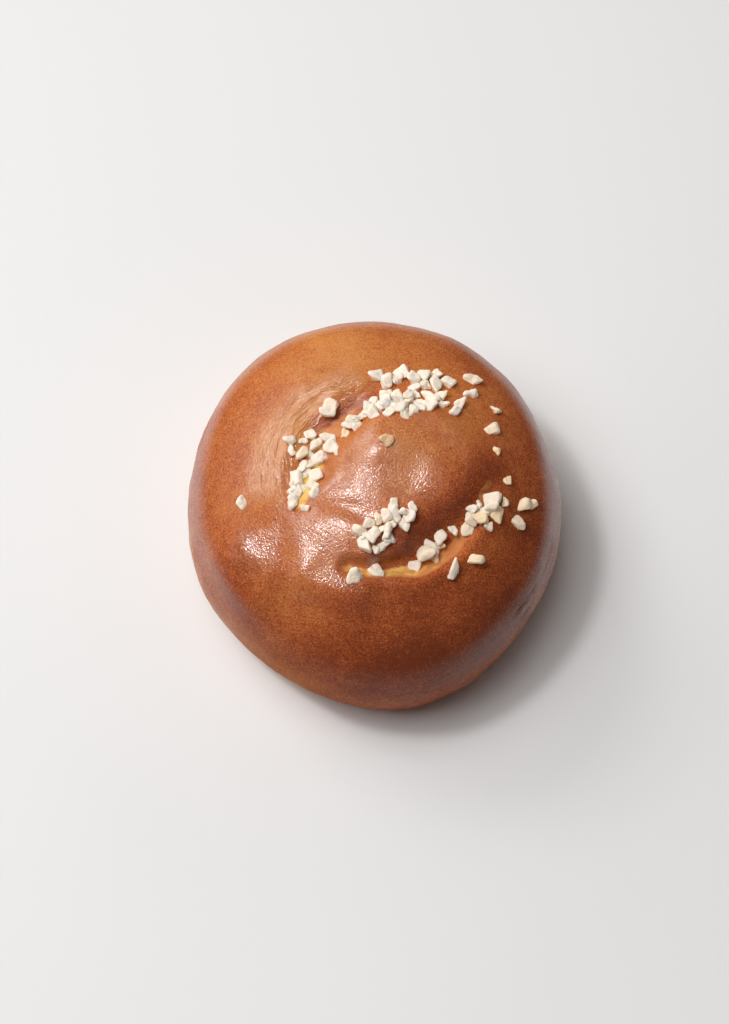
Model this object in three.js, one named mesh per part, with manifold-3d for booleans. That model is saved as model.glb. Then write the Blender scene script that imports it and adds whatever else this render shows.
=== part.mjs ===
// A craquelin brioche: one egg-washed bun, slashed twice round its cap, with sugar nibs baked on.
// Millimetres, +Z up, origin at the middle of the flat base. The front of the bun faces -Y.

import * as THREE from "three";
import { mergeVertices } from "three/addons/utils/BufferGeometryUtils.js";
import Module from "manifold-3d";

// Bun: a full dome over a rounded lower flank that turns in to a flat base.
const BUN_RADIUS = 55.6;
const BUN_HEIGHT = 62;
const WAIST_HEIGHT = 25;
const BASE_SHARE = 0.8; // radius of the flat base as a share of the waist's
const DOME_POWER = 2.4; // 2 is an ellipse, and more is flatter on top with fuller shoulders
const WAIST_WAVES = [
  { lobes: 2, swell: 1.6, crest: 101 },
  { lobes: 3, swell: 0.3, crest: 44 },
  { lobes: 4, swell: 0.4, crest: 15 },
  { lobes: 5, swell: 0.5, crest: -11 },
]; // swell in millimetres, crest in degrees from +X

// Cap: the raised top between the slashes, a low plateau.
const CAP = { x: 9, y: -2, reach: 22, rise: 3.2, edge: 2.6 };

// Slashes: curved cuts that opened in the oven on both sides of the cap.
// Each runs from, by (a handle) and to places in plan. Its sides grow from the first width to the second
// between the two shares of the way in widens, and a high edge makes its walls steep.
const SLASHES = [
  {
    from: [-20, -11],
    by: [-15, 26],
    to: [26, 19],
    depth: 3.6,
    edge: 2.8,
    outerSide: [6, 7.5],
    capSide: [5, 5.5],
    widens: [0.1, 0.45],
    fadeIn: 0.16,
    fadeOut: 0.7,
    blunt: 0.2,
  },
  {
    from: [-8, -27.4],
    by: [20, -36.5],
    to: [34, 0],
    depth: 4.7,
    edge: 3,
    outerSide: [2.4, 3.6],
    capSide: [2.4, 9],
    widens: [0.25, 0.65],
    fadeIn: 0.25,
    fadeOut: 0.5,
    blunt: 0.55,
  },
];
const SLASH_NARROWEST = 0.55; // width of a slash where it is still shut, as a share of its open width
const SIDE_BLEND = 1.2; // half of the strip in which one side's width turns into the other's
const LINE_STEPS = 48;
const LINE_REFINEMENTS = 4;
const RELIEF_EDGE = 0.12; // share of the waist's radius in which cuts and swells fade out

// Swells of the dough along bent lines in plan, with their reach to each side and their rise.
// An edge of 2 makes a round ridge, and more makes a flat-topped one.
const SWELLS = [
  { from: [-15, -20], by: [-12, -22], to: [-6, -23.5], reach: 10.5, rise: 0.9, edge: 6 },
  { from: [-18, -12.5], by: [-11, -11.5], to: [-3, -14.5], reach: 3, rise: -0.8, edge: 2 },
  { from: [-19, -31], by: [-13, -35], to: [-4, -38], reach: 4.6, rise: 1.5, edge: 2 },
  { from: [-39.5, -22.5], by: [-38, -27], to: [-34, -31.5], reach: 8, rise: 2.7, edge: 2 },
  { from: [2, 10], by: [20, 10], to: [25, -4], reach: 11, rise: 3, edge: 2 },
  { from: [-20, 27], by: [-13, 27.5], to: [-5, 27.5], reach: 4.5, rise: 0.9, edge: 2 },
  { from: [6, -33], by: [28, -30], to: [37, -8], reach: 3.5, rise: 0.8, edge: 2 },
];

// Slow waves that push these lines about: size in millimetres, waves in radians per millimetre.
const WARPS = [
  { size: 0.6, waveX: 0.11, waveY: 0.27, phase: 0.4 },
  { size: 0.4, waveX: 0.31, waveY: -0.17, phase: 2.1 },
  { size: 0.25, waveX: 0.43, waveY: 0.39, phase: 4 },
];

// Sugar nibs: crushed lumps that lie in the slashes and about the cap.
const NIB_LENGTH = 4;
const NIB_LENGTHS = [0.68, 1.2]; // shortest and longest, as shares of the usual length
const NIB_WIDTHS = [0.62, 0.95]; // shares of a nib's own length
const NIB_HEIGHTS = [0.5, 0.75];
const NIB_SUNK = 0.28; // share of a nib's height that is baked in
const NIB_STACKED = 0.5; // share of its height that a nib stands above the one below it
const NIB_CROWDED = 0.27; // nibs closer than this share of their joint length lie on top of one another
const NIB_LAYERS = 1; // how many nibs may lie on top of one another, above the first
const NIB_SLOPE = 0.35; // most that a nib's long axis rises or falls
const NIB_SIDES = 8; // flat sides that bound a nib: those of a box, and two more that lie anyhow
const NIB_SIDE_LEAN = 0.42;
const NIB_SIDE_REACH = [0.76, 1.06];
const NIB_ROUNDING = 4.4; // low is pebble-like, and high has sharp edges
const NIB_TRIES = 8; // spots that a nib is offered: it takes the emptiest
const NIB_SEED = 40000;
const CARAMEL_NIB = [3.5, 5]; // one large nib alone on the cap
const NIB_CLUSTERS = [
  { x: 10.5, y: 26.8, halfLength: 10.5, halfWidth: 3, turn: 0, count: 11 },
  { x: 5.5, y: 17.2, halfLength: 10.5, halfWidth: 4.2, turn: 10, count: 23 },
  { x: 20.8, y: 18.8, halfLength: 4, halfWidth: 3, turn: 0, count: 5 },
  { x: -5.8, y: 11.5, halfLength: 3.8, halfWidth: 1, turn: 50, count: 4 },
  { x: -11.9, y: 17.8, halfLength: 1.8, halfWidth: 0.4, turn: 59, count: 2 },
  { x: -17, y: 5.5, halfLength: 7.3, halfWidth: 5, turn: 0, count: 13 },
  { x: -19, y: -4.5, halfLength: 4.3, halfWidth: 4, turn: 0, count: 9 },
  { x: 8.4, y: -13.6, halfLength: 3.8, halfWidth: 4, turn: 0, count: 6 },
  { x: 0.6, y: -19.4, halfLength: 5, halfWidth: 5.6, turn: -48, count: 13 },
  { x: 29.2, y: -12, halfLength: 6, halfWidth: 2.4, turn: 55, count: 8 },
  { x: 18.6, y: -21, halfLength: 6, halfWidth: 1.8, turn: 40, count: 5 },
]; // ovals in plan, in millimetres, with their turn in degrees from +X
const STRAY_NIBS = [
  [28.2, 29.2],
  [27.4, 23.9],
  [34, 19.8],
  [32.6, 12.1],
  [33.3, 5.9],
  [-36.7, -8.4],
  [36, -2.7],
  [35.6, -8.9],
  [41.3, -8],
  [44.4, -7],
  [39.6, -13.4],
  [33, -12.5],
  [30.5, -16],
  [27.3, -25.1],
  [21.4, -29.4],
  [11.7, -28],
  [0.1, -29.5],
  [-5.6, -31],
  [-22.6, -10.2],
  [-19.2, -11.8],
];

// Grid of the bun's skin
const ROUND_SEGMENTS = 66;
const SKIN_RINGS = 38;
const DOME_RINGS = 30;
const FLANK_RINGS = 6;

const CRUST_COLOUR = "#a5562e";
const CRUST_ROUGHNESS = 0.35;

const { smoothstep, degToRad, lerp, clamp } = THREE.MathUtils;
const wasm = await Module();
wasm.setup();

// A repeatable row of numbers from 0 to 1.
let drawState = NIB_SEED;
function draw() {
  const MULTIPLIER = 48271;
  const MODULUS = 2147483647;
  drawState = (drawState * MULTIPLIER) % MODULUS;
  return drawState / MODULUS;
}

function drawBetween(low, high) {
  return low + (high - low) * draw();
}

function waistRadius(angle) {
  let radius = BUN_RADIUS;
  for (const wave of WAIST_WAVES) {
    radius += wave.swell * Math.cos(wave.lobes * (angle - degToRad(wave.crest)));
  }
  return radius;
}

// Gives a slash or a swell its bent line in plan, with points to start the search for the nearest one.
function withLine(form) {
  const line = new THREE.QuadraticBezierCurve(
    new THREE.Vector2(...form.from),
    new THREE.Vector2(...form.by),
    new THREE.Vector2(...form.to),
  );
  return { ...form, line, spots: line.getPoints(LINE_STEPS) };
}

const capMiddle = new THREE.Vector2(CAP.x, CAP.y);
const slashes = SLASHES.map(withLine);
const swells = SWELLS.map(withLine);

// How far along a bent line the point nearest to a place lies, from 0 to 1, and that point.
function alongLine({ line, spots }, place) {
  let nearest = 0;
  for (let step = 1; step <= LINE_STEPS; step += 1) {
    if (place.distanceTo(spots[step]) < place.distanceTo(spots[nearest])) nearest = step;
  }
  let along = nearest / LINE_STEPS;
  let near = spots[nearest];
  const first = line.v1.clone().sub(line.v0).multiplyScalar(2);
  const last = line.v2.clone().sub(line.v1).multiplyScalar(2);
  const bend = last.clone().sub(first);
  for (let refinement = 0; refinement < LINE_REFINEMENTS; refinement += 1) {
    near = line.getPoint(along);
    const speed = first.clone().lerp(last, along);
    const gap = near.clone().sub(place);
    const steepness = Math.max(speed.lengthSq() + gap.dot(bend), 1);
    along = clamp(along - gap.dot(speed) / steepness, 0, 1);
  }
  return { along, near };
}

// Height that a slash takes off. It opens along its way, and is wider towards the cap than outwards.
function slashRelief(slash, place) {
  const { along, near } = alongLine(slash, place);
  const inward = near.distanceTo(capMiddle) - place.distanceTo(capMiddle);
  const capShare = smoothstep(inward, -SIDE_BLEND, SIDE_BLEND);
  const fade = lerp(slash.blunt, 1, smoothstep(along, 0, slash.fadeIn));
  const opened = fade * smoothstep(1 - along, 0, slash.fadeOut);
  const later = smoothstep(along, ...slash.widens);
  const openSide = lerp(lerp(...slash.outerSide, later), lerp(...slash.capSide, later), capShare);
  const side = openSide * lerp(SLASH_NARROWEST, 1, opened);
  const across = place.distanceTo(near) / side;
  return -slash.depth * opened * Math.exp(-(across ** slash.edge));
}

function swellRelief(swell, place) {
  const away = place.distanceTo(alongLine(swell, place).near);
  return swell.rise * Math.exp(-((away / swell.reach) ** swell.edge));
}

// A place pushed about by the slow waves, so that the dough's lines aren't drawn with a ruler.
function warped(place) {
  const pushed = place.clone();
  for (const { size, waveX, waveY, phase } of WARPS) {
    pushed.x += size * Math.sin(waveX * place.x + waveY * place.y + phase);
    pushed.y += size * Math.sin(waveY * place.x - waveX * place.y + 2 * phase);
  }
  return pushed;
}

function relief(plainPlace) {
  const place = warped(plainPlace);
  let height = CAP.rise * Math.exp(-((place.distanceTo(capMiddle) / CAP.reach) ** CAP.edge));
  for (const swell of swells) height += swellRelief(swell, place);
  for (const slash of slashes) height += slashRelief(slash, place);
  return height;
}

// A point of the dome's skin and the direction that it faces, above a place in plan.
function domeSkin(place) {
  const radius = waistRadius(place.angle());
  const out = place.length() / radius;
  const rise = Math.max(0, 1 - out ** DOME_POWER) ** (1 / DOME_POWER);
  const domeHeight = BUN_HEIGHT - WAIST_HEIGHT;
  const sideways = out ** (DOME_POWER - 1) / radius;
  const upward = rise ** (DOME_POWER - 1) / domeHeight;
  const facing = new THREE.Vector3(
    sideways * Math.cos(place.angle()),
    sideways * Math.sin(place.angle()),
    upward,
  ).normalize();
  const point = new THREE.Vector3(place.x, place.y, WAIST_HEIGHT + domeHeight * rise);
  point.addScaledVector(facing, relief(place) * smoothstep(1 - out, 0, RELIEF_EDGE));
  return { point, facing };
}

// A point of the lower flank, from the waist (0) to the edge of the base (1).
function flankSkin(angle, down) {
  const turn = (down * Math.PI) / 2;
  const radius = waistRadius(angle) * (BASE_SHARE + (1 - BASE_SHARE) * Math.cos(turn));
  const height = WAIST_HEIGHT * (1 - Math.sin(turn));
  return new THREE.Vector3(radius * Math.cos(angle), radius * Math.sin(angle), height);
}

// The rings start round the cap and drift to the bun's own middle, so that they follow the slashes.
function skinPoint(angle, ring) {
  if (ring <= DOME_RINGS) {
    const out = Math.sin((ring / DOME_RINGS) * (Math.PI / 2)) ** (2 / DOME_POWER);
    const radius = out * waistRadius(angle);
    const drift = 1 - out * out;
    const place = new THREE.Vector2(
      radius * Math.cos(angle) + drift * CAP.x,
      radius * Math.sin(angle) + drift * CAP.y,
    );
    return domeSkin(place).point;
  }
  if (ring <= DOME_RINGS + FLANK_RINGS) return flankSkin(angle, (ring - DOME_RINGS) / FLANK_RINGS);
  const inward = (SKIN_RINGS - ring) / (SKIN_RINGS - DOME_RINGS - FLANK_RINGS);
  return flankSkin(angle, 1).multiplyScalar(inward);
}

function bunGeometry() {
  const geometry = new THREE.SphereGeometry(1, ROUND_SEGMENTS, SKIN_RINGS).rotateX(Math.PI / 2);
  const position = geometry.attributes.position;
  const vertex = new THREE.Vector3();
  for (let i = 0; i < position.count; i += 1) {
    vertex.fromBufferAttribute(position, i);
    const angle = Math.atan2(vertex.y, vertex.x);
    const ring = Math.round((Math.acos(clamp(vertex.z, -1, 1)) / Math.PI) * SKIN_RINGS);
    const point = skinPoint(angle, ring);
    position.setXYZ(i, point.x, point.y, point.z);
  }
  return geometry;
}

// A lump bounded by flat sides that lean at random, with its edges rounded off.
function nibGeometry(length) {
  const BOX_SIDES = 6;
  const drawLean = () => drawBetween(-NIB_SIDE_LEAN, NIB_SIDE_LEAN);
  const sides = [];
  for (let side = 0; side < NIB_SIDES; side += 1) {
    const lean = new THREE.Vector3(drawLean(), drawLean(), drawLean());
    if (side < BOX_SIDES) lean.setComponent(Math.floor(side / 2), side % 2 ? -1 : 1);
    sides.push(lean.normalize().divideScalar(drawBetween(...NIB_SIDE_REACH)));
  }
  const size = new THREE.Vector3(
    length / 2,
    (length / 2) * drawBetween(...NIB_WIDTHS),
    (length / 2) * drawBetween(...NIB_HEIGHTS),
  );
  const geometry = new THREE.IcosahedronGeometry(1, 0);
  const position = geometry.attributes.position;
  const direction = new THREE.Vector3();
  for (let i = 0; i < position.count; i += 1) {
    direction.fromBufferAttribute(position, i);
    let pressure = 0;
    for (const side of sides) pressure += Math.max(0, direction.dot(side)) ** NIB_ROUNDING;
    direction.multiplyScalar(pressure ** (-1 / NIB_ROUNDING)).multiply(size);
    position.setXYZ(i, direction.x, direction.y, direction.z);
  }
  geometry.userData.height = 2 * size.z;
  return geometry;
}

// Where the next nib of a cluster lies: the emptiest of a few places drawn within its oval.
function clusterPlace(cluster, laid) {
  const turn = degToRad(cluster.turn);
  const ampleRoom = 2 * NIB_LENGTH;
  let best = null;
  let bestRoom = -1;
  for (let attempt = 0; attempt < NIB_TRIES; attempt += 1) {
    const out = Math.sqrt(draw());
    const bearing = drawBetween(0, 2 * Math.PI);
    const along = cluster.halfLength * out * Math.cos(bearing);
    const across = cluster.halfWidth * out * Math.sin(bearing);
    const place = new THREE.Vector2(along, across).rotateAround(new THREE.Vector2(), turn);
    place.x += cluster.x;
    place.y += cluster.y;
    const room = Math.min(ampleRoom, ...laid.map((nib) => nib.place.distanceTo(place)));
    if (room > bestRoom) {
      best = place;
      bestRoom = room;
    }
  }
  return best;
}

// A nib turned at random and pressed into the crust, or resting on the nibs already below it.
function layNib(place, laid) {
  const length = NIB_LENGTH * drawBetween(...NIB_LENGTHS);
  const geometry = nibGeometry(length);
  const { point, facing } = domeSkin(place);
  let layer = 0;
  for (const nib of laid) {
    const crowded = nib.place.distanceTo(place) < NIB_CROWDED * (nib.length + length);
    if (crowded) layer = Math.min(NIB_LAYERS, Math.max(layer, nib.layer + 1));
  }
  const turn = drawBetween(0, 2 * Math.PI);
  const long = new THREE.Vector3(Math.cos(turn), Math.sin(turn), drawBetween(-NIB_SLOPE, NIB_SLOPE));
  const wide = new THREE.Vector3().crossVectors(facing, long).normalize();
  const up = new THREE.Vector3().crossVectors(long.normalize(), wide);
  const height = geometry.userData.height;
  const raised = height / 2 + height * (NIB_STACKED * layer - NIB_SUNK);
  const middle = point.addScaledVector(facing, raised);
  geometry.applyMatrix4(new THREE.Matrix4().makeBasis(long, wide, up).setPosition(middle));
  laid.push({ place, length, layer });
  return geometry;
}

function nibGeometries() {
  const laid = [];
  const geometries = [layNib(new THREE.Vector2(...CARAMEL_NIB), laid)];
  for (const cluster of NIB_CLUSTERS) {
    for (let nib = 0; nib < cluster.count; nib += 1) {
      geometries.push(layNib(clusterPlace(cluster, laid), laid));
    }
  }
  for (const [x, y] of STRAY_NIBS) geometries.push(layNib(new THREE.Vector2(x, y), laid));
  return geometries;
}

function solidOf(geometry) {
  geometry.deleteAttribute("normal");
  geometry.deleteAttribute("uv");
  const merged = mergeVertices(geometry);
  return new wasm.Manifold(
    new wasm.Mesh({
      numProp: 3,
      vertProperties: merged.attributes.position.array,
      triVerts: new Uint32Array(merged.index.array),
    }),
  );
}

// The bun with its nibs fused on. The outer skin alone is kept, so pockets under the nibs are filled.
function briocheGeometry() {
  let solid = solidOf(bunGeometry());
  for (const nib of nibGeometries()) solid = solid.add(solidOf(nib));
  const largest = solid.decompose().sort((a, b) => b.volume() - a.volume())[0];
  const { vertProperties, triVerts } = largest.getMesh();
  const geometry = new THREE.BufferGeometry();
  geometry.setAttribute("position", new THREE.BufferAttribute(vertProperties, 3));
  geometry.setIndex(new THREE.BufferAttribute(triVerts, 1));
  geometry.computeVertexNormals();
  return geometry;
}

const crust = new THREE.MeshStandardMaterial({
  color: CRUST_COLOUR,
  roughness: CRUST_ROUGHNESS,
  metalness: 0,
});
const brioche = new THREE.Mesh(briocheGeometry(), crust);
brioche.name = "brioche";

const root = new THREE.Group();
root.add(brioche);
export default root;
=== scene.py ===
import bmesh
import bpy
import numpy as np
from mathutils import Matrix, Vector, noise


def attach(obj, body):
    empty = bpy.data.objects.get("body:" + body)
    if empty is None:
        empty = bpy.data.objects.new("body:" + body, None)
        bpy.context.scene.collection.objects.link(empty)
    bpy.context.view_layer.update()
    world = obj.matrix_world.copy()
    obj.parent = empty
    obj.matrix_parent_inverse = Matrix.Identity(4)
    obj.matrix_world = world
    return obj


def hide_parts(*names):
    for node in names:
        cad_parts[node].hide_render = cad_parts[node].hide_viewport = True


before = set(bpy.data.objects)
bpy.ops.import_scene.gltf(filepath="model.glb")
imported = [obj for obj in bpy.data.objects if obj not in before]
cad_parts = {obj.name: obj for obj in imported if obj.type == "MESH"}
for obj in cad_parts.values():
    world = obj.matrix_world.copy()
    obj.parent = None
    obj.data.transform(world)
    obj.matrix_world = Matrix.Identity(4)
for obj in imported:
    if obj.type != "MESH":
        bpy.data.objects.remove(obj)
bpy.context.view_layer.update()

# The bun: one ball of rich yeast dough, proved, brushed with egg and baked on a flat tray.
# It swells over its base into a full dome. Two curved slashes opened round its cap in the oven.
# Shapes are worked out in millimetres, and turned into metres when a mesh is made.
MILLIMETRE = 0.001
BUN_RADIUS = 55.6
BUN_HEIGHT = 62
WAIST_HEIGHT = 25
BASE_SHARE = 0.8  # radius of the flat base as a share of the waist's
DOME_POWER = 2.4  # 2 is a round dome, and more is a squarer one
WAIST_WAVES = ((2, 1.6, 101), (3, 0.3, 44), (4, 0.4, 15), (5, 0.5, -11))  # lobes, swell, a crest's bearing


def smoothstep(value, low, high):
    """0 up to low and 1 from high on, with a smooth rise between them."""
    share = np.clip((value - low) / (high - low), 0, 1)
    return share * share * (3 - 2 * share)


def changing(pair, share):
    """The first of a pair where the share is 0, the second where it is 1, and in step between them."""
    return pair[0] + share * (pair[1] - pair[0])


def waist_radius(angle):
    radius = np.full_like(angle, BUN_RADIUS)
    for lobes, swell, crest in WAIST_WAVES:
        radius = radius + swell * np.cos(lobes * (angle - np.radians(crest)))
    return radius


# The slashes were cut along bent lines. They open along their way and gape towards the cap.
# A pair is the start's value and the end's, or where along the way a change starts and ends.
# Their floors lie bare of egg wash for a share of the half-width, and a bare value under 0 is none.
UPPER_SLASH = {
    "from": (-20, -11), "by": (-15, 26), "to": (26, 19), "depth": 3.6, "edge": 2.8,
    "outer_side": (6, 7.5), "cap_side": (5, 5.5), "widens": (0.1, 0.45),
    "fade_in": 0.16, "fade_out": 0.7, "blunt": 0.2,
    "bare_cap": 0.45, "bare_outer": 0.55, "bare": (1.35, -0.55),
}
LOWER_SLASH = {
    "from": (-8, -27.4), "by": (20, -36.5), "to": (34, 0), "depth": 4.7, "edge": 3,
    "outer_side": (2.4, 3.6), "cap_side": (2.4, 9), "widens": (0.25, 0.65),
    "fade_in": 0.25, "fade_out": 0.5, "blunt": 0.55,
    "bare_cap": 0.2, "bare_outer": 1.2, "bare": (1.05, 0.48),
}
SLASH_NARROWEST = 0.55  # share of its full width that a slash has where it starts to open
SIDE_BLEND = 1.2
LINE_STEPS = 48
LINE_REFINEMENTS = 4
CAP_MIDDLE = (9, -2)
CAP_REACH = 22
CAP_RISE = 3.2
CAP_EDGE = 2.6
RELIEF_EDGE = 0.12  # share of the waist's radius in which the relief fades out
SWELLS = (  # from, bent towards, to, reach, rise, edge
    ((-15, -20), (-12, -22), (-6, -23.5), 10.5, 0.9, 6),
    ((-18, -12.5), (-11, -11.5), (-3, -14.5), 3, -0.8, 2),
    ((-19, -31), (-13, -35), (-4, -38), 4.6, 1.5, 2),
    ((-39.5, -22.5), (-38, -27), (-34, -31.5), 8, 2.7, 2),
    ((2, 10), (20, 10), (25, -4), 11, 3, 2),
    ((-20, 27), (-13, 27.5), (-5, 27.5), 4.5, 0.9, 2),
    ((6, -33), (28, -30), (37, -8), 3.5, 0.8, 2),
)
WARPS = ((0.6, 0.11, 0.27, 0.4), (0.4, 0.31, -0.17, 2.1), (0.25, 0.43, 0.39, 4.0))  # size, waves, phase


def along_line(start, handle, end, x, y):
    """How far along a bent line the point nearest to each place lies, from 0 to 1, and that point."""
    start, handle, end = (np.array(corner, float) for corner in (start, handle, end))
    share = np.linspace(0, 1, LINE_STEPS + 1)[:, None]
    middle = (1 - share) ** 2 * start + 2 * share * (1 - share) * handle + share ** 2 * end
    along = ((x[:, None] - middle[:, 0]) ** 2 + (y[:, None] - middle[:, 1]) ** 2).argmin(1) / LINE_STEPS
    bend = 2 * (end - 2 * handle + start)
    for refinement in range(LINE_REFINEMENTS):
        share = along[:, None]
        near = (1 - share) ** 2 * start + 2 * share * (1 - share) * handle + share ** 2 * end
        speed = 2 * (1 - share) * (handle - start) + 2 * share * (end - handle)
        gap = near - np.stack([x, y], 1)
        curve = (speed * speed).sum(1) + gap @ bend
        along = np.clip(along - (gap * speed).sum(1) / np.maximum(curve, 1), 0, 1)
    return along, near


def spot(x, y, middle_x, middle_y, reach, edge=2):
    """1 in the middle of a round spot, falling to 0 past its reach, more sharply with a higher edge."""
    return np.exp(-((np.hypot(x - middle_x, y - middle_y) / reach) ** edge))


def swell_relief(start, handle, end, reach, rise, edge, x, y):
    """A ridge of dough along a bent line, or a valley where the rise is less than nothing."""
    along, near = along_line(start, handle, end, x, y)
    away = np.hypot(x - near[:, 0], y - near[:, 1])
    return rise * np.exp(-((away / reach) ** edge))


def cut_profile(cut, x, y):
    """How far along and across a cut each place lies, how far it has opened, and the cap side's share."""
    along, near = along_line(cut["from"], cut["by"], cut["to"], x, y)
    cap_x, cap_y = CAP_MIDDLE
    inward = np.hypot(near[:, 0] - cap_x, near[:, 1] - cap_y) - np.hypot(x - cap_x, y - cap_y)
    cap_share = smoothstep(inward, -SIDE_BLEND, SIDE_BLEND)
    fade = changing((cut["blunt"], 1), smoothstep(along, 0, cut["fade_in"]))
    opened = fade * smoothstep(1 - along, 0, cut["fade_out"])
    later = smoothstep(along, *cut["widens"])
    sides = changing(cut["outer_side"], later), changing(cut["cap_side"], later)
    half_width = changing(sides, cap_share) * changing((SLASH_NARROWEST, 1), opened)
    away = np.hypot(x - near[:, 0], y - near[:, 1])
    return along, away / half_width, opened, cap_share


def cut_relief(cut, x, y):
    along, across, opened, cap_share = cut_profile(cut, x, y)
    return -cut["depth"] * opened * np.exp(-(across ** cut["edge"]))


def warped(x, y):
    """Places pushed about by a few slow waves, so that the dough's lines aren't drawn with a ruler."""
    shift_x, shift_y = np.zeros_like(x), np.zeros_like(x)
    for size, wave_x, wave_y, phase in WARPS:
        shift_x = shift_x + size * np.sin(wave_x * x + wave_y * y + phase)
        shift_y = shift_y + size * np.sin(wave_y * x - wave_x * y + 2 * phase)
    return x + shift_x, y + shift_y


def relief(x, y):
    """Height that the cap, the swells and the slashes add to the plain dome."""
    x, y = warped(x, y)
    height = CAP_RISE * spot(x, y, *CAP_MIDDLE, CAP_REACH, CAP_EDGE)
    for swell in SWELLS:
        height = height + swell_relief(*swell, x, y)
    for cut in (UPPER_SLASH, LOWER_SLASH):
        height = height + cut_relief(cut, x, y)
    return height


def dome_skin(x, y):
    """Points of the dome's skin above places in plan, and the directions that the plain dome faces there."""
    angle = np.arctan2(y, x)
    radius = waist_radius(angle)
    out = np.hypot(x, y) / radius
    rise = np.maximum(0, 1 - out ** DOME_POWER) ** (1 / DOME_POWER)
    dome_height = BUN_HEIGHT - WAIST_HEIGHT
    sideways = out ** (DOME_POWER - 1) / radius
    upward = rise ** (DOME_POWER - 1) / dome_height
    facing = np.stack([sideways * np.cos(angle), sideways * np.sin(angle), upward], 1)
    facing /= np.linalg.norm(facing, axis=1)[:, None]
    points = np.stack([x, y, WAIST_HEIGHT + dome_height * rise], 1)
    ease = smoothstep(1 - out, 0, RELIEF_EDGE)
    return points + facing * (ease * relief(x, y))[:, None], facing


def flank_skin(angle, down):
    """Points of the lower flank, a share of the way down from the waist to the base, and where they face."""
    turn = down * np.pi / 2
    radius = waist_radius(angle)
    reach = radius * (BASE_SHARE + (1 - BASE_SHARE) * np.cos(turn))
    height = np.full_like(angle, WAIST_HEIGHT * (1 - np.sin(turn)))
    points = np.stack([reach * np.cos(angle), reach * np.sin(angle), height], 1)
    sideways = np.full_like(angle, WAIST_HEIGHT * np.cos(turn))
    downward = -radius * (1 - BASE_SHARE) * np.sin(turn)
    facing = np.stack([sideways * np.cos(angle), sideways * np.sin(angle), downward], 1)
    return points, facing / np.linalg.norm(facing, axis=1)[:, None]


# The skin's small relief: lumps and folds of dough, wrinkles that run round the waist where the skin
# slackened as it cooled, and fine ridges where it was stretched beside the upper slash.
LUMPS = ((15, 0.5), (6, 0.15))  # size across, height
FOLDS = (  # from, bent towards, to, reach, rise, edge
    ((-20, -33.5), (-12, -34.5), (-3, -35.5), 3.5, 0.65, 2),
    ((-36, -24), (-32, -27), (-26, -28.5), 4.5, 0.55, 2),
)
GIRDLE_HEIGHT = 20
GIRDLE_FLATNESS = 1.4
GIRDLE_RADIUS = 60
WRINKLE_LENGTH = 8
WRINKLE_WIDTH = 1.4
WRINKLE_HEIGHT = 0.33
WRINKLE_DETAIL = (2.1, 0.5)  # how many times finer the second layer is, and its share of the height
WRINKLE_SPOTS = (  # middle x, middle y, reach, strength
    (-49, -22, 9, 0.8), (-54, 5, 16, 0.55), (43, -35, 13, 1.3), (52, -12, 12, 0.6), (14, -50, 12, 0.9),
)
WRINKLE_PATCH = 13
WRINKLE_SPREAD = 0.25
WRINKLED_FROM = (0, 12)  # heights between which the wrinkles set in above the base
WRINKLED_TO = (36, 44)  # heights between which they fade out on the dome
BASE_EASE = 6
DULL_LINE = ((-29, -3), (-29, 14), (-8, 24))
DULL_REACH = 7.5
DULL_EDGE = 4
DULL_LEAST = 0.01
CREASED_REACH = 16
STRETCH_MIDDLE = (-3, 2)
STRETCH_RADIUS = 24
RIDGE_GAP = 2
RIDGE_LENGTH = 12
RIDGE_HEIGHT = 0.5
RIDGE_DETAIL = (2.3, 0.4)


def stretched_share(points, reach):
    """1 along the stretched skin beside the upper slash, and 0 past the reach from its middle line."""
    x, y, z = points.T
    return np.where(z > WAIST_HEIGHT, swell_relief(*DULL_LINE, reach, 1, DULL_EDGE, x, y), 0)


def dulled_share(points):
    """Where the skin was stretched so far that its wash dried with a dull sheen."""
    return stretched_share(points, DULL_REACH)


def creased_share(points):
    """A wider strip round the dulled skin, where the pull only creased it finely."""
    return stretched_share(points, CREASED_REACH)


def stretch_places(points):
    """Places on the stretched skin: how far out from the middle of the pull, and how far round it."""
    x, y = points[:, 0] - STRETCH_MIDDLE[0], points[:, 1] - STRETCH_MIDDLE[1]
    return np.hypot(x, y), STRETCH_RADIUS * np.arctan2(y, -x)


def layered_noise(place, finer, finer_share):
    return noise.noise(place) + finer_share * noise.noise(place * finer)


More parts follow.
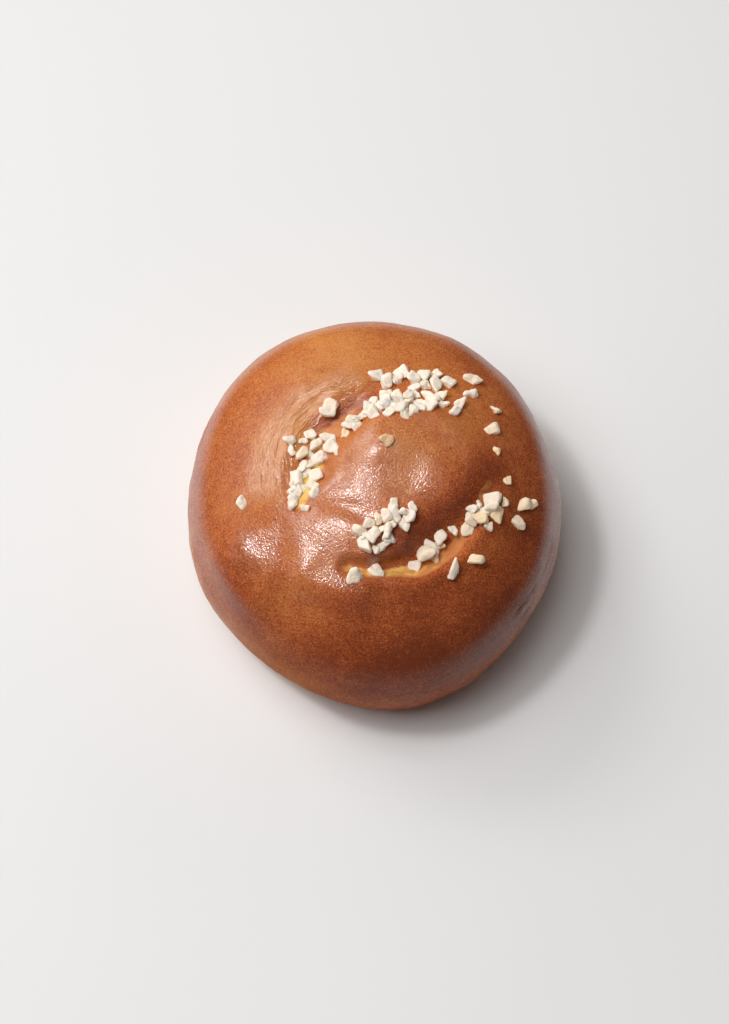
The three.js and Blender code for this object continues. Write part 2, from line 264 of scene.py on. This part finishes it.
def unevenness(points):
    """Height of the small relief: folds, lumps, ridges on the dulled skin and wrinkles on the flank."""
    x, y, z = points.T
    down = -GIRDLE_RADIUS * np.arctan2((z - GIRDLE_HEIGHT) * GIRDLE_FLATNESS, np.hypot(x, y))
    flank = smoothstep(z, *WRINKLED_FROM) * (1 - smoothstep(z, *WRINKLED_TO))
    dulled = dulled_share(points)
    ring, round_way = stretch_places(points)
    slack = np.zeros(len(points))
    for middle_x, middle_y, reach, strength in WRINKLE_SPOTS:
        slack += strength * spot(x, y, middle_x, middle_y, reach)
    heights = np.zeros(len(points))
    for fold in FOLDS:
        heights += np.where(z > WAIST_HEIGHT, swell_relief(*fold, x, y), 0)
    for number, point in enumerate(points):
        place = Vector(point)
        for size, height in LUMPS:
            heights[number] += height * noise.noise(place / size)
        if dulled[number] > DULL_LEAST:
            ridge = Vector((ring[number] / RIDGE_GAP, round_way[number] / RIDGE_LENGTH, 0))
            heights[number] += RIDGE_HEIGHT * dulled[number] * layered_noise(ridge, *RIDGE_DETAIL)
        if flank[number] > 0:
            plan = Vector((x[number], y[number], 0)) / WRINKLE_LENGTH
            wrinkle = plan + Vector((0, 0, down[number] / WRINKLE_WIDTH))
            patch = slack[number] + max(0, noise.noise(place / WRINKLE_PATCH) + WRINKLE_SPREAD)
            wrinkled = patch * layered_noise(wrinkle, *WRINKLE_DETAIL)
            heights[number] += WRINKLE_HEIGHT * flank[number] * wrinkled
    return heights * smoothstep(z, 0, BASE_EASE)


# The crust's mesh: rings of points from the cap down the dome and the flank and in under the base.
ROUND_SEGMENTS = 440
DOME_RINGS = 170
FLANK_RINGS = 36
BASE_RINGS = 8


def joined_mesh(name, points, faces):
    """A smooth-shaded mesh in metres, from points in millimetres and rows of corner numbers."""
    mesh = bpy.data.meshes.new(name)
    mesh.from_pydata((points * MILLIMETRE).tolist(), [], faces)
    mesh.shade_smooth()
    made = bpy.data.objects.new(name, mesh)
    bpy.context.scene.collection.objects.link(made)
    return made


def skin_grid():
    """The crust's points. The rings start round the cap's middle and drift to the bun's as they widen."""
    angle = np.arange(ROUND_SEGMENTS) / ROUND_SEGMENTS * 2 * np.pi
    cap_x, cap_y = CAP_MIDDLE
    rings = [dome_skin(np.array([float(cap_x)]), np.array([float(cap_y)]))]
    for ring in range(1, DOME_RINGS + 1):
        out = np.sin(ring / DOME_RINGS * np.pi / 2) ** (2 / DOME_POWER)
        drift = 1 - out * out
        radius = out * waist_radius(angle)
        ring_x = radius * np.cos(angle) + drift * cap_x
        ring_y = radius * np.sin(angle) + drift * cap_y
        rings.append(dome_skin(ring_x, ring_y))
    for ring in range(1, FLANK_RINGS + 1):
        rings.append(flank_skin(angle, ring / FLANK_RINGS))
    rim, rim_facing = flank_skin(angle, 1.0)
    for ring in range(1, BASE_RINGS):
        rings.append((rim * (1 - ring / BASE_RINGS), rim_facing))
    rings.append((np.zeros((1, 3)), np.array([[0, 0, -1.0]])))
    points = np.concatenate([ring[0] for ring in rings])
    facings = np.concatenate([ring[1] for ring in rings])
    return points + facings * unevenness(points)[:, None]


def skin_faces():
    """Quads between the rings, with a fan of triangles at the cap and at the middle of the base."""
    ring_count = DOME_RINGS + FLANK_RINGS + BASE_RINGS - 1
    here = np.arange(ROUND_SEGMENTS)
    beside = (here + 1) % ROUND_SEGMENTS
    faces = [(0, 1 + a, 1 + b) for a, b in zip(here, beside)]
    for ring in range(ring_count - 1):
        upper = 1 + ring * ROUND_SEGMENTS
        lower = upper + ROUND_SEGMENTS
        faces += [(upper + a, lower + a, lower + b, upper + b) for a, b in zip(here, beside)]
    last = 1 + ring_count * ROUND_SEGMENTS
    faces += [(last, last - ROUND_SEGMENTS + b, last - ROUND_SEGMENTS + a) for a, b in zip(here, beside)]
    return [tuple(int(corner) for corner in face) for face in faces]


skin_points = skin_grid()
crust = joined_mesh("crust", skin_points, skin_faces())

# Browning and egg wash, worked out at each point of the skin and kept with the mesh for its material.
# The oven browned the front right most. The wash lies thick on the top's left and round the rim.
BARE_FADE = (0.5, 1.1)  # shares of the bare width between which a slash's floor takes on the crust's wash
BARE_ENDS = 0.3  # how soon the floor is bare as a slash opens: the less, the sooner
BROWNED_MIDDLE = 0.29
BROWNED_SLOPE = (0.0018, -0.005)
BROWNED_EDGE = 0.00013
PALE_PATCHES = ((-14, 42, 10, 0.25), (-22, -37, 14, 0.3))  # middle x, middle y, reach, how much paler
PALE_RING = 0.22
# Darker bands along the upper slash's outer wall and down the cap's slope above the lower slash: partly
# browner crust at the torn edges, partly painted shade of these slopes.
TOASTED_AND_SHADED_LINES = (  # from, bent towards, to, reach, how much darker, edge
    ((-15, 13), (-10, 17), (0, 20), 3.5, 0.6, 2),
    ((8, -21), (21, -14), (31, 0), 5.5, 0.4, 2),
)
PALE_RIM = 0.45
PALE_RIM_FADE = (24, 40)  # heights between which the pale lower flank turns to the browned dome
POOL_EDGE = 4
GLAZE_POOLS = ((-13, -17, 21), (-31, -22.5, 8), (8, -1, 15))  # middle x, middle y, reach
FILM_POOLS = ((-8, -21, 15), (-2, -3, 13), (10, 0, 12))
DRY_SPOTS = (  # middle x, middle y, reach, share of the wash that is missing
    (-30, -13.5, 6.5, 0.95), (-13, -11.5, 4, 0.9), (-21, -10.5, 4, 0.8), (-23.5, -24, 3, 0.6),
)
THIN_GLAZE = 0.03
CREASED_GLAZE = 0.25
RIM_GLAZED = (0.905, 0.99)  # shares of the waist's radius between which the rim's wash sets in
RIM_RIGHT = (0.05, 16)  # how much further in on each side, and how closely it keeps to that side
RIM_BACK = (0.08, 1)
RIM_LEFT = (0.05, 2)
RIM_THINNED = 0.45  # share of the rim's wash that is missing at the front and the back
DRY_BEARING = -118
DRY_WIDTH = 32
DRY_RIM = 0.8
DRIEST_TOWARDS = (0.1, -0.8, -0.6)
DRY_FADE = (5, 32)
DRY_FRONT = 0.5


def store(piece, name, values):
    """Keeps a value at each point of a mesh, for its material to read."""
    piece.data.attributes.new(name, "FLOAT", "POINT").data.foreach_set("value", values.astype(np.float32))


def bare_share(points):
    """High on the slashes' floors, where the dough tore after the egg wash, and 0 on the washed crust."""
    x, y = warped(points[:, 0], points[:, 1])
    bare = np.zeros(len(points))
    for cut in (UPPER_SLASH, LOWER_SLASH):
        along, across, opened, cap_share = cut_profile(cut, x, y)
        reach = changing((cut["bare_outer"], cut["bare_cap"]), cap_share)
        strength = changing(cut["bare"], along) * opened ** BARE_ENDS
        bare = np.maximum(bare, strength * (1 - smoothstep(across / reach, *BARE_FADE)))
    return np.where(points[:, 2] > WAIST_HEIGHT, bare, 0)


def browned_and_shaded_share(points):
    """How brown the crust baked: palest at the back left and low down, darkest at the front right. It is
    darker still along the upper slash's outer wall and down the cap's slope above the lower slash, which is
    partly browner crust at the torn edges and partly painted shade.
    """
    x, y, z = points.T
    browned_and_shaded = BROWNED_MIDDLE + points[:, :2] @ np.array(BROWNED_SLOPE) + BROWNED_EDGE * (x * x + y * y)
    for middle_x, middle_y, reach, paler in PALE_PATCHES:
        browned_and_shaded -= paler * spot(x, y, middle_x, middle_y, reach)
    browned_and_shaded -= PALE_RING * dulled_share(points)
    # The darker bands here are partly browning and partly painted shade on the slash wall and the cap's
    # slope.
    for line in TOASTED_AND_SHADED_LINES:
        browned_and_shaded += swell_relief(*line, x, y)
    return browned_and_shaded - PALE_RIM * (1 - smoothstep(z, *PALE_RIM_FADE))


def rim_glaze(points):
    """How thick the wash lies round the rim, which is driest at the front left."""
    x, y = points[:, 0], points[:, 1]
    angle = np.arctan2(y, x)
    towards_right, towards_back = np.cos(angle), np.sin(angle)
    right, back, left = (
        reach * np.maximum(0, towards) ** closeness
        for towards, (reach, closeness) in (
            (towards_right, RIM_RIGHT), (towards_back, RIM_BACK), (-towards_right, RIM_LEFT),
        )
    )
    out = np.hypot(x, y) / waist_radius(angle)
    glaze = smoothstep(out + np.maximum(right + back, left), *RIM_GLAZED)
    dry_side = np.exp(-(((np.degrees(angle) - DRY_BEARING) / DRY_WIDTH) ** 2))
    return glaze * (1 - DRY_RIM * dry_side) * (1 - RIM_THINNED * towards_back ** 2)


def pooled(points, pools):
    """1 in round pools of wash, and 0 away from them all."""
    share = np.zeros(len(points))
    for middle_x, middle_y, reach in pools:
        share = np.maximum(share, spot(points[:, 0], points[:, 1], middle_x, middle_y, reach, POOL_EDGE))
    return share


def glazed_share(points):
    """How thick the egg wash lies: thick in the pools, on the stretched skin and round the rim."""
    thick = np.maximum(dulled_share(points), CREASED_GLAZE * creased_share(points))
    thick = np.maximum(thick, pooled(points, GLAZE_POOLS))
    for middle_x, middle_y, reach, missing in DRY_SPOTS:
        thick = thick * (1 - missing * spot(points[:, 0], points[:, 1], middle_x, middle_y, reach))
    thick = np.maximum(thick, rim_glaze(points))
    dry = smoothstep(points @ np.array(DRIEST_TOWARDS), *DRY_FADE)
    return changing((THIN_GLAZE, 1), thick) * (1 - DRY_FRONT * dry)


def filmed_share(points):
    """Where the wash ran together and dried to a smooth film, on the cap and on the pad below it."""
    return np.where(points[:, 2] > WAIST_HEIGHT, pooled(points, FILM_POOLS), 0)


store(crust, "bare", bare_share(skin_points))
store(crust, "filmed", filmed_share(skin_points))
store(crust, "browned_and_shaded", browned_and_shaded_share(skin_points))
store(crust, "glazed", glazed_share(skin_points))
store(crust, "dulled", dulled_share(skin_points))
store(crust, "creased", creased_share(skin_points))
store(crust, "stretch_ring", stretch_places(skin_points)[0])

# The crust's finish: golden to mahogany brown in clouds and specks, with a fine peel of pebbles and pits.
# Thin wash is matte, and thick wash is a mix of crisp and hazy gloss. The slashes' floors are bare crumb.
GOLDEN = (0.60, 0.235, 0.062, 1)
AMBER = (0.46, 0.128, 0.037, 1)
RUSSET = (0.31, 0.065, 0.021, 1)
MAHOGANY = (0.18, 0.04, 0.016, 1)
TAN_CRUMB = (0.58, 0.22, 0.075, 1)
YELLOW_CRUMB = (0.84, 0.52, 0.13, 1)
CLOUDS = (70, 4)  # how many to the metre, and detail
MOTTLES = (500, 4)
PEBBLES = (1700, 1.5)
SPECKS = (2600, 2)
CLOUD_TONE = 0.7
MOTTLE_TONE = 0.5
PEBBLE_TONE = 0.8
SPECK_TONE = 1.5
GOLDEN_TO_AMBER = (-0.1, 0.44)  # how browned the crust is where one colour ends and the next is full
AMBER_TO_RUSSET = (0.36, 0.76)
RUSSET_TO_MAHOGANY = (0.68, 1.05)
MOTTLE_TEAR = 0.9
CLOUD_TEAR = 0.5
WASH_TO_CRUMB = (0.15, 0.6)  # how bare the floor is where the wash ends and where the crumb is full
TAN_TO_YELLOW = (0.65, 1.1)
STREAK_LENGTH = 5
STREAK_WIDTH = 0.55
PULL_LENGTH = 3
PULL_WIDTH = 0.55
PULL_WANDER = 6
STREAK_DETAIL = 2
PITTED = (0.05, 0.22)
PEEL_HEIGHT = 0.13
PEBBLE_PEEL = 0.75  # shares of the peel's height
PIT_PEEL = 0.25
STREAK_PEEL = 0.25
CREASED_PULL = 1.6
DULLED_PULL = 2.2
FILMED_PULL = 0.4
WASH_IOR = 2.1
CRISP_ROUGHNESS = 0.13
MOTTLE_ROUGHNESS = 0.1
FILM_ROUGHNESS = 0.05
HAZY_ROUGHNESS = 0.29
HAZY_SHARE = 0.3
FILM_HAZE = 0.2
BARE_DULLING = 0.8


class Shade:
    """A socket of a material's nodes. Sums of shades add Math nodes, and node() adds any other kind."""

    NOISE_MEAN = 0.5

    def __init__(self, tree, socket=None):
        self.tree = tree
        self.socket = socket

    def node(self, kind, settings=(), sockets=(), out=0):
        made = self.tree.nodes.new(kind)
        for name, value in dict(settings).items():
            setattr(made, name, value)
        for name, value in dict(sockets).items():
            if isinstance(value, Shade):
                self.tree.links.new(value.socket, made.inputs[name])
            else:
                made.inputs[name].default_value = value
        return Shade(self.tree, made.outputs[out])

    def maths(self, operation, *values):
        return self.node("ShaderNodeMath", {"operation": operation}, enumerate(values))

    def vector(self, operation, *values, out=0):
        sockets = enumerate((self, *values))
        return self.node("ShaderNodeVectorMath", {"operation": operation}, sockets, out)

    def __add__(self, other):
        return self.maths("ADD", self, other)

    def __mul__(self, other):
        return self.maths("MULTIPLY", self, other)

    def __sub__(self, other):
        return self.maths("SUBTRACT", self, other)

    def __rsub__(self, other):
        return self.maths("SUBTRACT", other, self)

    __radd__ = __add__
    __rmul__ = __mul__

    def upright(self):
        """A vector that points up by this shade."""
        return self.node("ShaderNodeCombineXYZ", {}, {"Z": self})

    def speckle(self, scale, detail):
        """Noise at the places that this shade holds, as much below 0 as above it."""
        sockets = {"Vector": self, "Scale": scale, "Detail": detail}
        return self.node("ShaderNodeTexNoise", {}, sockets) - self.NOISE_MEAN

    def stored(self, name):
        """A value that the mesh keeps at each point."""
        return self.node("ShaderNodeAttribute", {"attribute_name": name}, out="Fac")

    def between(self, low, high):
        """0 below low and 1 above high, with a smooth step."""
        sockets = {"Value": self, "From Min": low, "From Max": high}
        return self.node("ShaderNodeMapRange", {"interpolation_type": "SMOOTHSTEP"}, sockets)

    def mix(self, first, second):
        """The first colour where this shade is 0 and the second where it is 1."""
        return self.node("ShaderNodeMix", {"data_type": "RGBA"}, {0: self, 6: first, 7: second}, out=2)

    def blend(self, first, second):
        """The first finish where this shade is 0 and the second where it is 1."""
        return self.node("ShaderNodeMixShader", {}, {0: self, 1: first, 2: second})


def new_material(name):
    """A material with a plain Principled shader, and a shade to start its sums from."""
    material = bpy.data.materials.new(name)
    material.use_nodes = True
    shader = material.node_tree.nodes["Principled BSDF"]
    return material, shader, Shade(material.node_tree)


def plug(shade, shader, socket):
    shade.tree.links.new(shade.socket, shader.inputs[socket])


crust_finish, crust_shader, start = new_material("egg_washed_crust")
place = start.node("ShaderNodeTexCoord", out="Object")
bare = start.stored("bare")
dulled = start.stored("dulled")
creased = start.stored("creased")
filmed = start.stored("filmed")
clouds = place.speckle(*CLOUDS)
mottles = place.speckle(*MOTTLES)
pebbles = place.speckle(*PEBBLES)
specks = place.speckle(*SPECKS)

tone = start.stored("browned_and_shaded") + clouds * CLOUD_TONE + mottles * MOTTLE_TONE
tone = tone - pebbles * PEBBLE_TONE - specks * SPECK_TONE
light_side = tone.between(*GOLDEN_TO_AMBER).mix(GOLDEN, AMBER)
dark_side = tone.between(*RUSSET_TO_MAHOGANY).mix(RUSSET, MAHOGANY)
washed = tone.between(*AMBER_TO_RUSSET).mix(light_side, dark_side)
torn = bare + mottles * MOTTLE_TEAR + clouds * CLOUD_TEAR
crumb = torn.between(*TAN_TO_YELLOW).mix(TAN_CRUMB, YELLOW_CRUMB)
colour = torn.between(*WASH_TO_CRUMB).mix(washed, crumb)

outward = place.vector("MULTIPLY", (1, 1, 0)).vector("LENGTH", out="Value")
rise = start.node("ShaderNodeSeparateXYZ", {}, {"Vector": place}, out="Z") - GIRDLE_HEIGHT * MILLIMETRE
down = start.maths("ARCTAN2", rise * GIRDLE_FLATNESS, outward)
girdle = (down * (GIRDLE_RADIUS / STREAK_WIDTH)).upright()
streak_pitch = 1 / (STREAK_LENGTH * MILLIMETRE)
streaks = place.vector("MULTIPLY", (streak_pitch, streak_pitch, 0)).vector("ADD", girdle)
streaks = streaks.speckle(1, STREAK_DETAIL)
pull_ring = ((start.stored("stretch_ring") + clouds * PULL_WANDER) * (1 / PULL_WIDTH)).upright()
pull_pitch = 1 / (PULL_LENGTH * MILLIMETRE)
pulls = place.vector("MULTIPLY", (pull_pitch, pull_pitch, 0)).vector("ADD", pull_ring)
pulls = pulls.speckle(1, STREAK_DETAIL)
pulled = creased * CREASED_PULL + dulled * DULLED_PULL + filmed * FILMED_PULL
skin = pebbles * PEBBLE_PEEL + specks.between(*PITTED) * PIT_PEEL + streaks * STREAK_PEEL + pulls * pulled
peel_sockets = {"Height": skin, "Strength": 1, "Distance": PEEL_HEIGHT * MILLIMETRE}
peel = start.node("ShaderNodeBump", {}, peel_sockets)

coat = {"Base Color": colour, "Normal": peel}
matte = start.node("ShaderNodeBsdfPrincipled", {}, {**coat, "Specular IOR Level": 0})
hazy = start.node("ShaderNodeBsdfPrincipled", {}, {**coat, "Roughness": HAZY_ROUGHNESS, "IOR": WASH_IOR})
plug(colour, crust_shader, "Base Color")
plug(peel, crust_shader, "Normal")
plug(CRISP_ROUGHNESS + mottles * MOTTLE_ROUGHNESS + filmed * FILM_ROUGHNESS, crust_shader, "Roughness")
crust_shader.inputs["IOR"].default_value = WASH_IOR
crisp = Shade(start.tree, crust_shader.outputs[0])
shiny = (HAZY_SHARE + filmed * FILM_HAZE).blend(crisp, hazy)
finish = (start.stored("glazed") * (1 - bare * BARE_DULLING)).blend(matte, shiny)
plug(finish, start.tree.nodes["Material Output"], "Surface")
crust.data.materials.append(crust_finish)
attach(crust, "root")
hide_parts("brioche")

# Sugar nibs: crushed lumps of pressed sugar, strewn on the egg wash before baking.
# They lie in the slashes and about the cap, sunk a little into the crust, and some lie on others.
NIB_LENGTH = 4
NIB_LENGTHS = (0.68, 1.2)  # shares of that length, and below them shares of a nib's own length
NIB_WIDTHS = (0.62, 0.95)
NIB_HEIGHTS = (0.5, 0.75)
NIB_SUNK = 0.28  # share of a nib's height that is baked in
NIB_STACKED = 0.5  # share of its height that a nib stands above the one below it
NIB_CROWDED = 0.27
NIB_LAYERS = 1  # how many nibs may lie on top of one another, above the first
NIB_SLOPE = 0.35
NIB_SIDES = 8
BOX_SIDES = 6  # the first sides face the six ways of a box, and the others any way
NIB_SIDE_LEAN = 0.42
NIB_SIDE_REACH = (0.76, 1.06)
NIB_ROUNDING = 4.4
NIB_CHIPS = ((1.6, 0.35), (0.7, 0.16))  # size across, depth
NIB_TRIES = 8
NIB_ROOM = 2 * NIB_LENGTH
NIB_SUBDIVISIONS = 4
NIB_SEED = 40000
DRAW_FACTOR = 48271
DRAW_RANGE = 2 ** 31 - 1
NIB_CLUSTERS = (  # middle x, middle y, half length, half width, turn in degrees, how many nibs
    (10.5, 26.8, 10.5, 3, 0, 11),
    (5.5, 17.2, 10.5, 4.2, 10, 23),
    (20.8, 18.8, 4, 3, 0, 5),
    (-5.8, 11.5, 3.8, 1, 50, 4),
    (-11.9, 17.8, 1.8, 0.4, 59, 2),
    (-17, 5.5, 7.3, 5, 0, 13),
    (-19, -4.5, 4.3, 4, 0, 9),
    (8.4, -13.6, 3.8, 4, 0, 6),
    (0.6, -19.4, 5, 5.6, -48, 13),
    (29.2, -12, 6, 2.4, 55, 8),
    (18.6, -21, 6, 1.8, 40, 5),
)
STRAY_NIBS = (
    (28.2, 29.2), (27.4, 23.9), (34, 19.8), (32.6, 12.1), (33.3, 5.9), (-36.7, -8.4), (36, -2.7),
    (35.6, -8.9), (41.3, -8), (44.4, -7), (39.6, -13.4), (33, -12.5), (30.5, -16), (27.3, -25.1),
    (21.4, -29.4), (11.7, -28), (0.1, -29.5), (-5.6, -31), (-22.6, -10.2), (-19.2, -11.8),
)
CARAMEL_NIB = (3.5, 5)


class Draws:
    """A repeatable row of numbers from 0 to 1."""

    def __init__(self, seed):
        self.state = seed

    def one(self):
        self.state = self.state * DRAW_FACTOR % DRAW_RANGE
        return self.state / DRAW_RANGE

    def between(self, low, high):
        return low + (high - low) * self.one()


draws = Draws(NIB_SEED)
ball = bmesh.new()
bmesh.ops.create_icosphere(ball, subdivisions=NIB_SUBDIVISIONS, radius=1)
ball.verts.index_update()
ball_points = np.array([vertex.co for vertex in ball.verts])
ball_faces = np.array([[corner.index for corner in face.verts] for face in ball.faces])
ball.free()


def nib_lump(length):
    """A lump with flat sides that lean at random and rounded, chipped edges, and its height."""
    sides = []
    for side in range(NIB_SIDES):
        lean = np.array([draws.between(-NIB_SIDE_LEAN, NIB_SIDE_LEAN) for axis in range(3)])
        if side < BOX_SIDES:
            lean[side // 2] = -1 if side % 2 else 1
        sides.append(lean / np.linalg.norm(lean) / draws.between(*NIB_SIDE_REACH))
    size = length / 2 * np.array([1, draws.between(*NIB_WIDTHS), draws.between(*NIB_HEIGHTS)])
    pressure = (np.maximum(0, ball_points @ np.array(sides).T) ** NIB_ROUNDING).sum(1)
    lump = ball_points * (pressure ** (-1 / NIB_ROUNDING))[:, None] * size
    chips = np.zeros(len(lump))
    for chip_size, chip_depth in NIB_CHIPS:
        chips += [chip_depth * noise.noise(Vector(point) / chip_size + Vector(sides[0])) for point in lump]
    return lump + ball_points * chips[:, None], 2 * size[2]


def cluster_place(cluster, laid):
    """Where the next nib of a cluster lies: the emptiest of a few places drawn within its oval."""
    middle_x, middle_y, half_length, half_width, turn, count = cluster
    cosine, sine = np.cos(np.radians(turn)), np.sin(np.radians(turn))
    best, best_room = None, -1
    for attempt in range(NIB_TRIES):
        out = np.sqrt(draws.one())
        bearing = draws.between(0, 2 * np.pi)
        along = half_length * out * np.cos(bearing)
        across = half_width * out * np.sin(bearing)
        place_x = middle_x + along * cosine - across * sine
        place_y = middle_y + along * sine + across * cosine
        place = np.array([place_x, place_y])
        room = min([NIB_ROOM] + [np.hypot(*(nib[0] - place)) for nib in laid])
        if room > best_room:
            best, best_room = place, room
    return best


def lay_nib(place, laid):
    """A nib turned at random and pressed into the crust, or resting on the nibs already below it."""
    length = NIB_LENGTH * draws.between(*NIB_LENGTHS)
    lump, height = nib_lump(length)
    points, facings = dome_skin(place[:1], place[1:])
    facing = facings[0]
    layer = 0
    for other_place, other_length, other_layer in laid:
        if np.hypot(*(other_place - place)) < NIB_CROWDED * (other_length + length):
            layer = min(NIB_LAYERS, max(layer, other_layer + 1))
    turn = draws.between(0, 2 * np.pi)
    long_axis = np.array([np.cos(turn), np.sin(turn), draws.between(-NIB_SLOPE, NIB_SLOPE)])
    wide_axis = np.cross(facing, long_axis)
    wide_axis /= np.linalg.norm(wide_axis)
    long_axis /= np.linalg.norm(long_axis)
    up_axis = np.cross(long_axis, wide_axis)
    middle = points[0] + facing * height * (0.5 - NIB_SUNK + NIB_STACKED * layer)
    laid.append((place, length, layer))
    return lump @ np.array([long_axis, wide_axis, up_axis]) + middle


laid_nibs = []
nib_lumps = [lay_nib(np.array(CARAMEL_NIB, float), laid_nibs)]
for cluster in NIB_CLUSTERS:
    for nib in range(cluster[-1]):
        nib_lumps.append(lay_nib(cluster_place(cluster, laid_nibs), laid_nibs))
for stray in STRAY_NIBS:
    nib_lumps.append(lay_nib(np.array(stray, float), laid_nibs))
nib_faces = np.concatenate([ball_faces + number * len(ball_points) for number in range(len(nib_lumps))])
sugar = joined_mesh("sugar_nibs", np.concatenate(nib_lumps), nib_faces.tolist())

# The sugar's finish: white and gritty, letting a little light in. Some nibs baked to honey, more of them
# on the right, and one on the cap to caramel.
WHITE_SUGAR = (0.885, 0.765, 0.635, 1)
HONEY_SUGAR = (0.9, 0.68, 0.42, 1)
CARAMEL_SUGAR = (0.74, 0.49, 0.29, 1)
BAKED_MOST = 0.85
RIGHT_BAKED = 0.6
RIGHT_FADE = (24, 38)  # places between which the nibs turn to the more baked ones on the right
CARAMEL_BAKED = 2
WHITE_TO_HONEY = (0.5, 1.1)  # how baked a nib is where one colour ends and where the next is full
HONEY_TO_CARAMEL = (1.3, 1.9)
GRAINS = (2200, 2)
GRIT_HEIGHT = 0.15
GRIT_STRENGTH = 0.5
SUGAR_SOCKETS = {
    "Roughness": 0.5,
    "Specular IOR Level": 0.3,
    "Subsurface Weight": 0.5,
    "Subsurface Radius": (1, 0.9, 0.8),
    "Subsurface Scale": 0.8 * MILLIMETRE,
}
tints = Draws(NIB_SEED + 1)
baked_nibs = np.array([
    tints.one() * BAKED_MOST + RIGHT_BAKED * smoothstep(nib[0][0], *RIGHT_FADE) for nib in laid_nibs
])
baked_nibs[0] = CARAMEL_BAKED
store(sugar, "baked", np.repeat(baked_nibs, len(ball_points)))
sugar_finish, sugar_shader, start = new_material("pressed_sugar")
place = start.node("ShaderNodeTexCoord", out="Object")
baked = start.stored("baked")
honeyed = baked.between(*WHITE_TO_HONEY).mix(WHITE_SUGAR, HONEY_SUGAR)
plug(baked.between(*HONEY_TO_CARAMEL).mix(honeyed, CARAMEL_SUGAR), sugar_shader, "Base Color")
grains = place.speckle(*GRAINS)
grit_sockets = {"Height": grains, "Strength": GRIT_STRENGTH, "Distance": GRIT_HEIGHT * MILLIMETRE}
plug(start.node("ShaderNodeBump", {}, grit_sockets), sugar_shader, "Normal")
for socket, value in SUGAR_SOCKETS.items():
    sugar_shader.inputs[socket].default_value = value
sugar.data.materials.append(sugar_finish)
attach(sugar, "root")

# The floor: a plain pale sheet under the bun, wide enough to fill the view.
FLOOR_SIZE = 8000
FLOOR_COLOUR = (0.8, 0.79, 0.785, 1)
FLOOR_ROUGHNESS = 0.7
floor_corners = np.array([(-1, -1, 0), (1, -1, 0), (1, 1, 0), (-1, 1, 0)]) * FLOOR_SIZE / 2
floor = joined_mesh("floor", floor_corners, [(0, 1, 2, 3)])
floor_finish, floor_shader, floor_start = new_material("pale_floor")
floor_shader.inputs["Base Color"].default_value = FLOOR_COLOUR
floor_shader.inputs["Roughness"].default_value = FLOOR_ROUGHNESS
floor.data.materials.append(floor_finish)


# Light: a soft box high on the left, which the gloss doesn't mirror, and a small core in it for the glints.
# Low windows stand behind on the left and on the right, and a higher one gives the stretched skin its sheen.
# A weak fill stands in front, and the room is dim and pale.
def soft_box(name, bearing, height, distance, width, tall, watts):
    """A rectangle of light that faces the bun, its bearing and height in degrees and its sizes in metres."""
    lamp = bpy.data.lights.new(name, "AREA")
    lamp.shape = "RECTANGLE"
    lamp.size = width
    lamp.size_y = tall
    lamp.energy = watts
    made = bpy.data.objects.new(name, lamp)
    turn, lift = np.radians(bearing), np.radians(height)
    towards = Vector((np.cos(lift) * np.cos(turn), np.cos(lift) * np.sin(turn), np.sin(lift)))
    made.location = towards * distance
    made.rotation_euler = towards.to_track_quat("Z", "Y").to_euler()
    bpy.context.scene.collection.objects.link(made)
    return made


key_box = soft_box("key_box", bearing=178, height=72, distance=1.2, width=0.7, tall=0.9, watts=8.8)
key_box.visible_glossy = False
soft_box("key_core", bearing=171, height=69, distance=1.19, width=0.14, tall=0.14, watts=3.2)
soft_box("window", bearing=146, height=20, distance=3, width=6, tall=1.6, watts=38)
soft_box("upper_window", bearing=138, height=43, distance=3, width=1.3, tall=0.8, watts=19)
soft_box("back_window", bearing=50, height=25, distance=3, width=3, tall=1.5, watts=9)
soft_box("fill", bearing=300, height=18, distance=3, width=4, tall=1.5, watts=4)
ROOM_COLOUR = (1, 0.99, 0.98, 1)
ROOM_LIGHT = 0.03
world = bpy.data.worlds.new("pale_room")
world.use_nodes = True
world.node_tree.nodes["Background"].inputs["Color"].default_value = ROOM_COLOUR
world.node_tree.nodes["Background"].inputs["Strength"].default_value = ROOM_LIGHT
bpy.context.scene.world = world
bpy.context.scene.view_settings.view_transform = "Standard"

# Camera: above the front edge of the bun, looking down on it at the photograph's angle.
CAMERA_HEIGHT_DEG = 70
CAMERA_DISTANCE = 0.705
CAMERA_AIM = Vector((-0.00275, -0.0006, 0.026))
CAMERA_LENS = 85
camera_data = bpy.data.cameras.new("camera")
camera_data.lens = CAMERA_LENS
camera = bpy.data.objects.new("camera", camera_data)
lift = np.radians(CAMERA_HEIGHT_DEG)
towards_camera = Vector((0, -np.cos(lift), np.sin(lift)))
camera.location = CAMERA_AIM + towards_camera * CAMERA_DISTANCE
camera.rotation_euler = towards_camera.to_track_quat("Z", "Y").to_euler()
bpy.context.scene.collection.objects.link(camera)
bpy.context.scene.camera = camera
